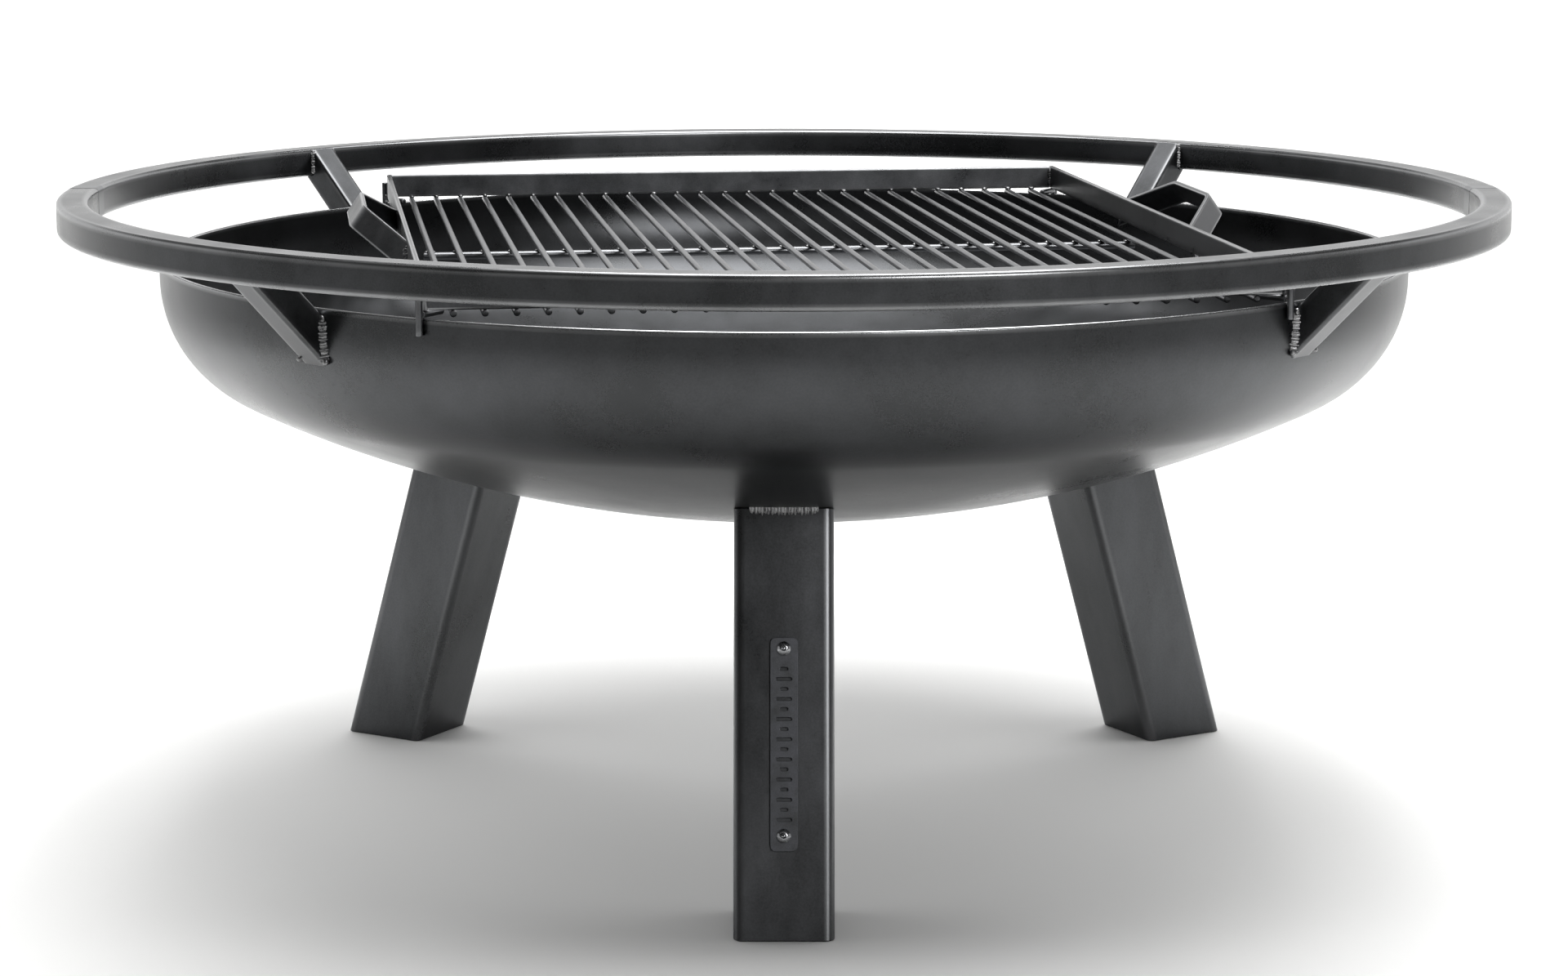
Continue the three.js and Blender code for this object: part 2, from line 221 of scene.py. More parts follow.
class StageSettings(bpy.types.PropertyGroup):
    lens: FloatProperty(name="Lens", description="Focal length", default=81.375, unit="CAMERA")
    distance: size("Distance", "From the bowl's axis to the camera, along the floor", 2.8655)
    eye: size("Eye height", "Height of the camera", 0.7825)
    pitch: angle("Pitch", "How far the camera looks down", 10.487)
    overhead: watts("Overhead", "Overhead soft box", 70)
    front: watts("Front", "Soft box beside the camera", 44)
    back: watts("Back", "Soft box over the paper behind", 3000)
    side: watts("Sides", "Each side soft box", 5)


class FirePitSettings(bpy.types.PropertyGroup):
    bowl: PointerProperty(type=BowlSizes)
    tube: PointerProperty(type=TubeSizes)
    badge: PointerProperty(type=BadgeSizes)
    grate: PointerProperty(type=GrateSizes)
    weld: PointerProperty(type=WeldSizes)
    finish: PointerProperty(type=Finishes)
    stage: PointerProperty(type=StageSettings)


def settings():
    return bpy.context.scene.fire_pit


# ---- Surfaces: grids of points, joined into closed shells ---------------------------------

def unit(vectors):
    """Vectors scaled to length one."""
    vectors = np.asarray(vectors, float)
    return vectors / np.linalg.norm(vectors, axis=-1, keepdims=True)


def shell(points, ring_rows=False, **marks):
    """A closed surface from a grid (rows, columns, 3) whose columns close on themselves. The rows
    also close on themselves when ring_rows is true; otherwise a fan of triangles to the middle of
    the first and the last row caps them. Marks are values from 0 to 1 for each grid point."""
    rows, columns = points.shape[:2]
    index = np.arange(rows * columns).reshape(rows, columns)
    lower = index if ring_rows else index[:-1]
    upper = np.roll(index, -1, axis=0) if ring_rows else index[1:]
    ahead = [np.roll(side, -1, axis=1) for side in (lower, upper)]
    quads = np.stack([lower, ahead[0], ahead[1], upper], axis=-1).reshape(-1, 4)
    flat = points.reshape(-1, 3)
    triangles = np.zeros((0, 3), int)
    values = {name: np.broadcast_to(mark, (rows, columns)).ravel() for name, mark in marks.items()}
    if not ring_rows:
        middle = rows * columns + np.arange(2)
        flat = np.concatenate([flat, points[[0, -1]].mean(1)])
        first, last = index[0], index[-1]
        triangles = np.concatenate([
            np.stack([np.roll(first, -1), first, np.full(columns, middle[0])], axis=1),
            np.stack([last, np.roll(last, -1), np.full(columns, middle[1])], axis=1),
        ])
        values = {n: np.concatenate([v, v[[0, -1]]]) for n, v in values.items()}
    corners = np.concatenate([quads[:, [0, 1, 2]], quads[:, [0, 2, 3]], triangles])
    a, b, c = (flat[corners[:, k]] for k in range(3))
    if (a * np.cross(b, c)).sum() < 0:
        quads, triangles = quads[:, ::-1], triangles[:, ::-1]
    return {"points": flat, "quads": quads, "triangles": triangles, "marks": values}


def rounded_loop(width, height, radius, corner_steps=5, flat_steps=8, wear=1.0 * MM):
    """A rectangle's outline with round corners, anticlockwise, and how worn each point is: one
    along a corner, fading on the flats as a bell curve of the distance from it."""
    flats = (0.5 - 0.5 * np.cos(np.pi * np.arange(flat_steps) / flat_steps))[1:]
    turns = np.linspace(0, math.pi / 2, corner_steps + 1)
    half = np.array([width / 2 - radius, height / 2 - radius])
    loop, worn = [], []
    for k, signs in enumerate([(1, -1), (1, 1), (-1, 1), (-1, -1)]):
        swing = turns + (k - 1) * math.pi / 2
        arc = half * signs + radius * np.stack([np.cos(swing), np.sin(swing)], axis=1)
        ahead = half * [(1, 1), (-1, 1), (-1, -1), (1, -1)][k]
        start = arc[-1]
        stop = ahead + radius * np.array([math.cos(swing[-1]), math.sin(swing[-1])])
        run = start + flats[:, None] * (stop - start)
        span = np.linalg.norm(stop - start)
        away = span * np.minimum(flats, 1 - flats)
        loop += [arc, run]
        worn += [np.ones(len(arc)), np.exp(-(away / wear) ** 2)]
    return np.concatenate(loop), np.concatenate(worn)


def carried(loop, path, side, up):
    """A loop of (side, up) points carried along a path: each grid point is the path's point plus
    the loop's two coordinates times the side and up vectors there."""
    side, up = np.broadcast_to(side, path.shape), np.broadcast_to(up, path.shape)
    return (path[:, None] + loop[None, :, :1] * side[:, None] + loop[None, :, 1:] * up[:, None])


def bent_path(points, radius, steps=8, straight=6):
    """A flat path through points with each inner corner rounded to an arc, as places and headings:
    straight runs between arcs whose centres lie one radius to the side of the turn."""
    points = np.asarray(points, float)
    legs = unit(np.diff(points, axis=0))
    places, headings, at = [], [], points[0]
    for k in range(len(legs)):
        last = k == len(legs) - 1
        swing = 0 if last else math.atan2(legs[k][0] * legs[k + 1][1] - legs[k][1] * legs[k + 1][0],
                                          legs[k] @ legs[k + 1])
        stop = points[k + 1] - legs[k] * radius * math.tan(abs(swing) / 2)
        run = np.linspace(0, 1, straight + 1)[:, None]
        places.append(at + run * (stop - at))
        headings.append(np.repeat(legs[k][None], straight + 1, axis=0))
        if not last:
            normal = np.array([-legs[k][1], legs[k][0]]) * math.copysign(1, swing)
            turn = np.linspace(0, abs(swing), steps + 1)[1:, None]
            arc = stop + radius * (np.sin(turn) * legs[k] + (1 - np.cos(turn)) * normal)
            places.append(arc[:-1])
            headings.append((np.cos(turn) * legs[k] + np.sin(turn) * normal)[:-1])
            at = arc[-1]
    return np.concatenate(places), np.concatenate(headings)


def cut_tube(base, across, outwards, along, tube, wall, corner, low, high, rows=20):
    """A hollow square tube between two cut ends. Each point of the outer and inner outline slides
    along the tube's axis from where it meets the low cut to where it meets the high cut."""
    fractions = (0.5 - 0.5 * np.cos(np.pi * np.arange(rows + 1) / rows))[:, None]
    outer, worn = rounded_loop(tube, tube, corner)
    inner, _ = rounded_loop(tube - 2 * wall, tube - 2 * wall, corner - wall / 2)
    grids, marks = [], []
    for loop, wear in ((outer, worn), (inner, 0 * worn)):
        start = base + loop[:, :1] * across + loop[:, 1:] * outwards
        first, last = low(start, along), high(start, along)
        reach = first + fractions * (last - first)
        grids.append(start[None] + reach[..., None] * along)
        marks.append(np.broadcast_to(wear, reach.shape))
    points = np.concatenate([grids[0], grids[1][::-1]])
    return shell(points, ring_rows=True, edge=np.concatenate([marks[0], marks[1][::-1]]))


def circle_about(axis, sides):
    """Unit directions at right angles to an axis, evenly round it."""
    across = unit(np.cross(axis, UP if abs(axis[2]) < 0.9 else [1, 0, 0]))
    swing = np.linspace(0, 2 * math.pi, sides, endpoint=False)
    return np.cos(swing)[:, None] * across + np.sin(swing)[:, None] * np.cross(axis, across)


def rod(start, stop, diameter, sides=16, rounding=0.7 * MM):
    """A round rod with softened ends: rings of points whose radius drops along a quarter circle
    over the last part of the length."""
    length = np.linalg.norm(stop - start)
    along = (stop - start) / length
    quarter = np.linspace(0, math.pi / 2, 4)
    away = rounding * (1 - np.cos(quarter))
    shrink = rounding * (1 - np.sin(quarter))
    middle = np.linspace(away[-1], length - away[-1], 9)[1:-1]
    reach = np.concatenate([away, middle, length - away[::-1]])
    radius = diameter / 2 - np.concatenate([shrink, 0 * middle, shrink[::-1]])
    circle = circle_about(along, sides)
    points = start + reach[:, None, None] * along + radius[:, None, None] * circle[None]
    return shell(points, edge=np.zeros(points.shape[:2]))


def revolved(profile, centre, axis, sides=48, **marks):
    """A profile of (radius, height) points turned about an axis through a centre."""
    axis = unit(axis)
    circle = circle_about(axis, sides)
    points = centre + profile[:, 1, None, None] * axis + profile[:, 0, None, None] * circle[None]
    return shell(points, **{n: np.asarray(m)[:, None] for n, m in marks.items()})


def bead(path, normal, width, height, ripple, seed):
    """A weld bead: an ellipse carried along a path, half sunk in the metal. Its size swells with
    the sine of the distance along the path, later at the sides than on top, so that the ripples
    bow; a few slower waves make it uneven, and it closes to a point at both ends."""
    random = np.random.default_rng(seed)
    steps = np.concatenate([[0], np.cumsum(np.linalg.norm(np.diff(path, axis=0), axis=1))])
    count = max(24, int(steps[-1] / ripple * 7))
    s = np.linspace(0, steps[-1], count)
    path = np.stack([np.interp(s, steps, path[:, k]) for k in range(3)], axis=1)
    tangent = unit(np.gradient(path, axis=0))
    normal = np.broadcast_to(normal, path.shape)
    side = unit(np.cross(tangent, normal))
    swing = np.linspace(0, 2 * math.pi, 20, endpoint=False)
    lag = 0.45 * ripple * np.cos(swing) ** 2
    waves = np.sin(2 * math.pi * (s[:, None] + lag) / ripple)
    slow = sum(a * np.sin(2 * math.pi * s / (ripple * f) + p)
               for a, f, p in zip((0.13, 0.09, 0.06), (1.7, 3.3, 6.9), random.uniform(0, 6, 3)))
    taper = np.sqrt(np.clip(1 - np.abs(2 * s / s[-1] - 1) ** 16, 0.03, 1))
    swell = (1 + 0.13 * waves + slow[:, None] + random.normal(0, 0.025, (count, 20))) * taper[:, None]
    points = (path[:, None] + swell[..., None] * (
        0.5 * width * np.cos(swing)[None, :, None] * side[:, None]
        + height * np.sin(swing)[None, :, None] * normal[:, None]))
    return shell(points, edge=(waves > 0.6) * 1.0)


def drops(centres, radii, seed, rows=7, columns=10):
    """Small drops of weld metal: spheres whose radius is stirred by a few seeded waves, each
    stretched by its own radii along X, Y and Z."""
    random = np.random.default_rng(seed)
    tilt = np.linspace(0.25, math.pi - 0.25, rows)[:, None]
    swing = np.linspace(0, 2 * math.pi, columns, endpoint=False)[None]
    ball = np.stack(np.broadcast_arrays(np.sin(tilt) * np.cos(swing), np.sin(tilt) * np.sin(swing),
                                        np.cos(tilt)), axis=-1)
    made = []
    for centre, radius in zip(centres, np.broadcast_to(radii, (len(centres), 3))):
        phase = random.uniform(0, 2 * math.pi, 3)
        lumps = 1 + 0.16 * np.sin(2 * swing + phase[0]) * np.sin(tilt) + 0.1 * np.sin(
            3 * tilt + phase[1]) + 0.06 * np.sin(5 * swing + phase[2])
        made.append(shell(centre + ball * lumps[..., None] * radius,
                          edge=np.full(lumps.shape, random.uniform(0, 1))))
    return made


def near(points, places, reach):
    """How near each point is to the nearest of some places, from 0 to 1, as a bell curve."""
    if not len(places):
        return np.zeros(len(points))
    away = np.full(len(points), np.inf)
    for place in places:
        away = np.minimum(away, ((points - place) ** 2).sum(1))
    return np.exp(-away / reach ** 2)


def placed(name, data):
    """A new object in the scene for a mesh, a light or a camera."""
    made = bpy.data.objects.new(name, data)
    bpy.context.scene.collection.objects.link(made)
    return made


def piece(name, shells, material, body, replaces=(), bevel=0, heat=(), sharp=35):
    """Joins shells into one object on a body of the frame, with its marks as attributes. Heat is
    the list of weld places that tint the metal round them."""
    offsets = np.cumsum([0] + [len(s["points"]) for s in shells])
    points = np.concatenate([s["points"] for s in shells])
    faces = []
    for made, offset in zip(shells, offsets):
        faces += (made["quads"] + offset).tolist() + (made["triangles"] + offset).tolist()
    mesh = bpy.data.meshes.new(name)
    mesh.from_pydata(points.tolist(), [], faces)
    marks = {"edge": np.concatenate([s["marks"]["edge"] for s in shells]),
             "heat": near(points, heat, HEAT_REACH)}
    for mark, values in marks.items():
        attribute = mesh.attributes.new(mark, "FLOAT", "POINT")
        attribute.data.foreach_set("value", values.astype(np.float32))
    mesh.shade_smooth()
    mesh.set_sharp_from_angle(angle=math.radians(sharp))
    mesh.materials.append(material)
    made = placed(name, mesh)
    if bevel:
        modifier = made.modifiers.new("soft edges", "BEVEL")
        modifier.width = bevel
        modifier.segments = 2
        modifier.limit_method = "ANGLE"
        modifier.angle_limit = math.radians(50)
    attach(made, body)
    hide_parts(*replaces)
    return made


# ---- Materials ----------------------------------------------------------------------------

def add_node(tree, kind, values=(), sources=(), **properties):
    """Adds a node, sets its properties and the values of its sockets, and links its sources."""
    made = tree.nodes.new(kind)
    for name, value in properties.items():
        setattr(made, name, value)
    for socket, value in dict(values).items():
        made.inputs[socket].default_value = value
    for socket, source in dict(sources).items():
        tree.links.new(source, made.inputs[socket])
    return made


def per(millimetres):
    """The scale of a noise whose features are that many millimetres across."""
    return 1000 / millimetres


def steel(name, dark, light, roughness, spread, cloud, grain, grain_depth, worn=0.0, streak=None,
          heat=0.0, worn_roughness=0.24):
    """Steel with a thin oxide skin: two tones mixed by a cloudy noise and a fine one, roughness
    that follows the clouds, a fine bump, brighter and smoother metal where the edge mark says that
    it is rubbed, and a darker tint where the heat mark says that a weld is near. Dark and light
    name two of the finishes."""
    if name in bpy.data.materials:
        return bpy.data.materials[name]
    finish = settings().finish
    dark, light = tuple(getattr(finish, dark)), tuple(getattr(finish, light))
    material = bpy.data.materials.new(name)
    material.use_nodes = True
    tree = material.node_tree
    shader = tree.nodes["Principled BSDF"]
    shader.inputs["Metallic"].default_value = 1.0
    place = add_node(tree, "ShaderNodeTexCoord").outputs["Object"]
    stretched = add_node(tree, "ShaderNodeMapping", {"Scale": streak or (1, 1, 1)},
                         {"Vector": place}).outputs[0]
    clouds = add_node(tree, "ShaderNodeTexNoise", {"Scale": per(cloud), "Detail": 5,
                                                   "Roughness": 0.62}, {"Vector": stretched})
    fine = add_node(tree, "ShaderNodeTexNoise", {"Scale": per(grain), "Detail": 3}, {"Vector": place})
    tone = add_node(tree, "ShaderNodeMath", {1: GRAIN_IN_TONE, 2: -GRAIN_IN_TONE / 2},
                    {0: fine.outputs[0]}, operation="MULTIPLY_ADD")
    tone = add_node(tree, "ShaderNodeMath", {}, {0: clouds.outputs[0], 1: tone.outputs[0]},
                    operation="ADD")
    tone = add_node(tree, "ShaderNodeMapRange", {"From Min": 0.3, "From Max": 0.72},
                    {"Value": tone.outputs[0]})
    skin = add_node(tree, "ShaderNodeMix", {6: dark, 7: light}, {0: tone.outputs[0]},
                    data_type="RGBA").outputs[2]
    rough = add_node(tree, "ShaderNodeMapRange", {"To Min": roughness - spread,
                                                  "To Max": roughness + spread},
                     {"Value": tone.outputs[0]}).outputs[0]
    if heat:
        mark = add_node(tree, "ShaderNodeAttribute", attribute_name="heat").outputs["Fac"]
        ring = add_node(tree, "ShaderNodeMapRange", {"From Min": 0.05, "From Max": 0.9,
                                                     "To Max": heat}, {"Value": mark}).outputs[0]
        skin = add_node(tree, "ShaderNodeMix", {7: linear("#2b2b2e")}, {0: ring, 6: skin},
                        data_type="RGBA").outputs[2]
    if worn:
        mark = add_node(tree, "ShaderNodeAttribute", attribute_name="edge").outputs["Fac"]
        patch = add_node(tree, "ShaderNodeMapRange", {"From Min": 0.25, "From Max": 0.75,
                                                      "To Min": 0.55, "To Max": 1.0},
                         {"Value": clouds.outputs[0]}).outputs[0]
        rubbed = add_node(tree, "ShaderNodeMath", {}, {0: mark, 1: patch}, operation="MULTIPLY")
        rubbed = add_node(tree, "ShaderNodeMath", {1: worn}, {0: rubbed.outputs[0]},
                          operation="MULTIPLY").outputs[0]
        skin = add_node(tree, "ShaderNodeMix", {7: tuple(finish.worn)},
                        {0: rubbed, 6: skin}, data_type="RGBA").outputs[2]
        rough = add_node(tree, "ShaderNodeMix", {3: worn_roughness}, {0: rubbed, 2: rough},
                         data_type="FLOAT").outputs[0]
    tree.links.new(skin, shader.inputs["Base Color"])
    tree.links.new(rough, shader.inputs["Roughness"])
    bump = add_node(tree, "ShaderNodeBump", {"Strength": 0.5, "Distance": grain_depth},
                    {"Height": fine.outputs[0]})
    tree.links.new(bump.outputs[0], shader.inputs["Normal"])
    return material


def dished_sheet():
    """Hot-rolled sheet pressed cold into a dish and oiled: a nearly black skin of mill scale with
    a soft sheen, faint grey clouds a hand wide, and a rim that rubbing has made bright."""
    return steel("hot_rolled_dished_sheet", "scale_dark", "scale_light", 0.3, 0.04,
                 cloud=90, grain=1.6, grain_depth=0.02 * MM, worn=0.9, heat=0.6)


def leg_tube():
    """Hot-rolled square tube, oiled: satin dark grey scale with long faint clouds along the tube
    and corners a little paler than the faces."""
    return steel("hot_rolled_square_tube", "tube_dark", "tube_light", 0.32, 0.05,
                 cloud=60, grain=1.4, grain_depth=0.03 * MM, worn=0.06, streak=(1, 1, 0.35),
                 heat=0.5)


def ring_tube():
    """Square tube rolled to a ring: the bending rolls polish its corners, so that its edges catch
    the light as a bright line while the faces stay dark satin scale."""
    return steel("rolled_ring_tube", "tube_dark", "tube_light", 0.3, 0.05,
                 cloud=70, grain=1.4, grain_depth=0.02 * MM, worn=0.3)


def bracket_tube():
    """Sawn square tube welded at both ends: satin scale that the weld's heat has darkened."""
    return steel("sawn_bracket_tube", "tube_dark", "tube_light", 0.34, 0.06,
                 cloud=30, grain=1.3, grain_depth=0.03 * MM, worn=0.12, heat=0.7)


def flat_bar():
    """Hot-rolled flat bar, bent cold: grey scale, paler on the rolled edges."""
    return steel("hot_rolled_flat_bar", "strip_dark", "strip_light", 0.33, 0.06,
                 cloud=35, grain=1.2, grain_depth=0.02 * MM, worn=0.45, heat=0.5)


def drawn_rod():
    """Drawn round rod: a paler grey than the rolled steel, even and satin, so that each bar shows
    as one light line."""
    return steel("drawn_round_rod", "rod_dark", "rod_light", 0.34, 0.06,
                 cloud=25, grain=1.0, grain_depth=0.02 * MM)


def weld_metal():
    """Weld metal as laid: grey ripples, bright where they stand proud and sooty between."""
    return steel("laid_weld_metal", "weld_dark", "weld_light", 0.34, 0.1,
                 cloud=4, grain=1.0, grain_depth=0.25 * MM, worn=0.3)


def ground_weld():
    """A weld ground flush: bare steel, brighter than the scale round it, with short scratches
    across the tube that are drawn a little coarser than they are."""
    return steel("ground_flush_weld", "tube_light", "rod_light", 0.32, 0.06, cloud=9,
                 grain=0.8, grain_depth=0.04 * MM, streak=(0.2, 1, 0.2))


def cut_plate():
    """Thin plate cut by laser: an even, nearly black satin, with a fine grain."""
    return steel("laser_cut_plate", "plate", "tube_dark", 0.42, 0.05, cloud=14,
                 grain=1.0, grain_depth=0.02 * MM)


def rivet_steel():
    """Bright drawn steel, as the head of a blind rivet is: smooth and pale, with small marks."""
    return steel("bright_rivet_steel", "rod_light", "rivet", 0.2, 0.06, cloud=4,
                 grain=0.8, grain_depth=0.02 * MM)


def studio_paper():
    """Matt white paper: an even pale surface with no gloss."""
    material = bpy.data.materials.new("matt_studio_paper")
    material.use_nodes = True
    shader = material.node_tree.nodes["Principled BSDF"]
    shader.inputs["Base Color"].default_value = tuple(settings().finish.floor)
    shader.inputs["Roughness"].default_value = 1.0
    shader.inputs["Specular IOR Level"].default_value = 0.0
    return material


# ---- The shape of the bowl, which the legs and brackets stop at -----------------------------

def dish():
    """The outer meridian's numbers: the knuckle's centre, the height of the crown's centre and
    the angle at which the knuckle and the crown meet."""
    b = settings().bowl
    centre = np.array([BOWL_HIGH[0] - b.knuckle, BOWL_HIGH[2] - b.flange])
    crown = centre[1] + math.sqrt((b.crown - b.knuckle) ** 2 - centre[0] ** 2)
    return centre, crown, math.atan2(centre[1] - crown, centre[0])


def meridian(offset, crown_steps, knuckle_steps):
    """The bowl's section from near the axis up to the rim, moved outwards by an offset: the arc of
    the crown, then the arc of the knuckle, then the straight flange."""
    b = settings().bowl
    centre, crown, meeting = dish()
    swing = np.linspace(-math.pi / 2, meeting, crown_steps + 1)[1:-1]
    curve = (b.crown + offset) * np.stack([np.cos(swing), np.sin(swing)], axis=1) + [0, crown]
    swing = np.linspace(meeting, 0, knuckle_steps + 1)
    knuckle = (b.knuckle + offset) * np.stack([np.cos(swing), np.sin(swing)], axis=1) + centre
    return np.concatenate([curve, knuckle])


def bowl_distance(points):
    """How far points are outside the bowl's outer surface: from the flange above the knuckle's
    centre, from the knuckle within its angle, and from the crown below it."""
    b = settings().bowl
    centre, crown, meeting = dish()
    r, z = np.hypot(points[..., 0], points[..., 1]), points[..., 2]
    swing = np.arctan2(z - centre[1], r - centre[0])
    flange = r - BOWL_HIGH[0]
    knuckle = np.hypot(r - centre[0], z - centre[1]) - b.knuckle
    dome = np.hypot(r, z - crown) - b.crown
    return np.where(z > centre[1], flange, np.where(swing > meeting, knuckle, dome))


def meet_bowl(points, along, near_side, far_side):
    """How far along a line each point meets the bowl's skin plus the clearance, halving the
    stretch between a reach outside the bowl and one inside it until nothing is left of it."""
    outside = np.full(len(points), near_side)
    inside = np.full(len(points), far_side)
    for _ in range(40):
        middle = (outside + inside) / 2
        out = bowl_distance(points + middle[:, None] * along) > CLEARANCE
        outside, inside = np.where(out, middle, outside), np.where(out, inside, middle)
    return outside


def kept_in_sheet(made):
    """A shell whose points go no deeper into the bowl than half its wall: deeper ones are moved
    back out along the slope of the distance from the bowl."""
    points, step = made["points"], 0.1 * MM
    away = bowl_distance(points)
    slope = np.stack([bowl_distance(points + step * axis) - away for axis in np.eye(3)], axis=1)
    deep = np.minimum(away + settings().bowl.wall / 2, 0)
    return {**made, "points": points - deep[:, None] * unit(slope)}


def leg_frame(azimuth):
    """Where a leg's outer face meets the floor, and its outward, across and upward directions."""
    a, lean = math.radians(azimuth), settings().tube.leg_splay
    outwards = np.array([math.cos(a) * math.cos(lean), math.sin(a) * math.cos(lean), math.sin(lean)])
    upwards = np.array([-math.cos(a) * math.sin(lean), -math.sin(a) * math.sin(lean), math.cos(lean)])
    foot = -LEG_LOW[1] * np.array([math.cos(a), math.sin(a), 0])
    return foot, outwards, np.cross(upwards, outwards), upwards


def bracket_frame(place):
    """A bracket's centre line where it meets the ring, its direction down to the bowl, and its
    across and upward directions. Its top edge runs from the ring's inner wall to the rim."""
    t = settings().tube
    a = math.radians(BRACKET_AZIMUTHS[place])
    ring_inner = RING_HIGH[0] - t.ring
    at_ring, at_bowl = RING_HIGH[2] - t.ring_drop, BOWL_HIGH[2] - t.rim_drop
    slope = math.atan2(at_ring - at_bowl, ring_inner - BOWL_HIGH[0])
    radial, across = np.array([math.cos(a), math.sin(a), 0]), np.array([-math.sin(a), math.cos(a), 0])
    height = at_ring - t.bracket / 2 / math.cos(slope)
    base = ring_inner * radial + [0, 0, height]
    inwards = -math.cos(slope) * radial - [0, 0, math.sin(slope)]
    upwards = -math.sin(slope) * radial + [0, 0, math.cos(slope)]
    return base, inwards, across, upwards


def leg_bead_path(azimuth, face):
    """The line where a leg's outer (0) or inner (-1) face meets the bowl, and the bead's normal."""
    t, w = settings().tube, settings().weld
    foot, outwards, across, upwards = leg_frame(azimuth)
    lateral = np.linspace(-w.leg_bead / 2, w.leg_bead / 2, 15)[:, None] * across
    start = foot + face * t.leg * outwards + lateral
    reach = meet_bowl(start, upwards, LEG_SEARCH, BOWL_HIGH[2])
    sign = 1 if face == 0 else -1
    return start + reach[:, None] * upwards, unit(sign * outwards - 0.6 * upwards)


def bracket_bead_path(place, sign):
    """The line where a bracket's side wall meets the bowl, from top to bottom, and its normal."""
    t = settings().tube
    base, inwards, across, upwards = bracket_frame(place)
    half = t.bracket / 2
    rise = np.linspace(half - t.bracket_corner, -half + t.bracket_corner, 15)[:, None] * upwards
    start = base + sign * half * across + rise
    reach = meet_bowl(start, inwards, 0, BRACKET_SEARCH)
    path = start + reach[:, None] * inwards
    radial = unit(path[7] * [1, 1, 0])
    return path, unit(radial + sign * across)


def ring_bead_path(place, sign):
    """The upright line where a bracket's side wall meets the ring's inner wall."""
    t = settings().tube
    _, inwards, across, _ = bracket_frame(place)
    radial = unit(-inwards * [1, 1, 0])
    top, low = RING_HIGH[2] - t.ring_drop - 1 * MM, RING_LOW[2] + 2 * MM
    heights = np.linspace(top, low, 9)
    foot = (RING_HIGH[0] - t.ring) * radial + sign * t.bracket / 2 * across
    path = np.column_stack([np.tile(foot[:2], (9, 1)), heights])
    return path, unit(-radial + sign * across)


def ring_top_bead_path(place):
    """The level line across a bracket's top wall where it meets the ring's inner wall."""
    t = settings().tube
    _, inwards, across, upwards = bracket_frame(place)
    radial = unit(-inwards * [1, 1, 0])
    foot = (RING_HIGH[0] - t.ring) * radial + UP * (RING_HIGH[2] - t.ring_drop - TOP_BEAD_DROP)
    lateral = np.linspace(-t.bracket / 2, t.bracket / 2, 9)[:, None] * across
    return foot + lateral, unit(0.4 * upwards - radial)


# ---- Operators: one for each piece or group of like pieces ----------------------------------

class FIREPIT_OT_bowl(bpy.types.Operator):
    """Make the dished bowl"""
    bl_idname = "firepit.bowl"
    bl_label = "Bowl"

    def execute(self, context):
        """The outer section, a round lip and the inner section turned about the axis, with slow
        waves round and up the wall that leave the sheet's thickness as it is."""
        b = settings().bowl
        rim, half = BOWL_HIGH[2], b.wall / 2
        outer, inner = meridian(0, 56, 26), meridian(-b.wall, 40, 20)[::-1]
        rise = np.linspace(outer[-1, 1], rim - half, 6)[1:]
        swing = np.linspace(0, math.pi, 9)[1:-1]
        lip = np.stack([BOWL_HIGH[0] - half + half * np.cos(swing),
                        rim - half + half * np.sin(swing)], 1)
        profile = np.concatenate([
            outer, np.stack([np.full(5, BOWL_HIGH[0]), rise], 1), lip,
            np.stack([np.full(5, BOWL_HIGH[0] - b.wall), rise[::-1]], 1), inner,
        ])
        sides = 288
        azimuth = np.linspace(0, 2 * math.pi, sides, endpoint=False)
        along = np.cumsum(np.linalg.norm(np.diff(outer, axis=0, prepend=outer[:1]), axis=1))
        reach = np.interp(profile[:, 1], outer[:, 1], along)[:, None]
        waves = b.waviness * (np.sin(5 * azimuth + 9 * reach) + np.sin(8 * azimuth - 14 * reach + 1)
                              + 0.6 * np.sin(13 * azimuth + 25 * reach + 2))
        fade = np.clip(reach / 0.1, 0, 1) * np.clip((rim - profile[:, 1, None]) / 0.03, 0, 1)
        radius = profile[:, :1] - np.abs(waves * fade)
        points = np.stack([radius * np.cos(azimuth), radius * np.sin(azimuth),
                           np.broadcast_to(profile[:, 1:], (len(profile), sides))], axis=-1)
        worn = np.exp(-((rim - profile[:, 1:]) / (1.6 * MM)) ** 2)
        welds = [leg_bead_path(a, 0)[0][::3] for a in LEG_AZIMUTHS.values()]
        welds += [bracket_bead_path(p, s)[0][::4] for p in PLACES for s in (-1, 1)]
        piece("dished_bowl", [shell(points, edge=worn)], dished_sheet(), "fire_pit",
              ["bowl"], heat=np.concatenate(welds))
        return {"FINISHED"}


